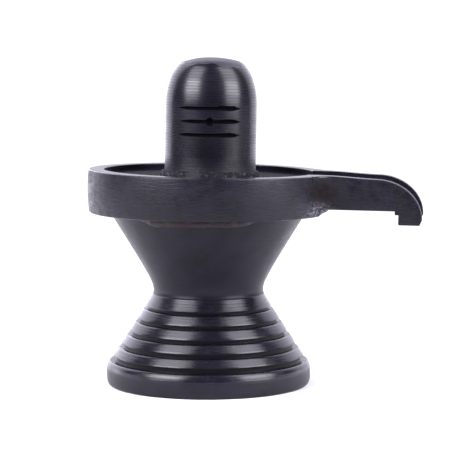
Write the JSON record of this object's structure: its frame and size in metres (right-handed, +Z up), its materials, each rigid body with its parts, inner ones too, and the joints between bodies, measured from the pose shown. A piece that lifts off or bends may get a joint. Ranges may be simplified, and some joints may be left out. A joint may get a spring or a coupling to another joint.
{
  "type": "shiva lingam",
  "caption": "Small turned black stone shivling: a domed linga in a round yoni basin with a hooked spout, on a grooved hourglass pedestal.",
  "frame": {"origin": "middle of the pedestal's underside, on the surface that it stands on", "axes": "+Z up along the pedestal's axis, +X along the spout, -Y towards the side that the linga's mark faces"},
  "size_m": [0.0763, 0.0554, 0.0746],
  "materials": {
    "turned_stone": "turned, waxed, glossy on the foot and satin on the stem",
    "honed_stone": "honed, satin",
    "polished_stone": "polished on the lathe, fine rings",
    "cement": "matt, pitted",
    "adhesive": "hardened resin, half gloss"
  },
  "bodies": {
    "root": {"pedestal": "turned_stone", "yoni_basin": "honed_stone", "linga": "polished_stone", "bedding_cement": "cement", "joint_adhesive": "adhesive"}
  },
  "joints": []
}
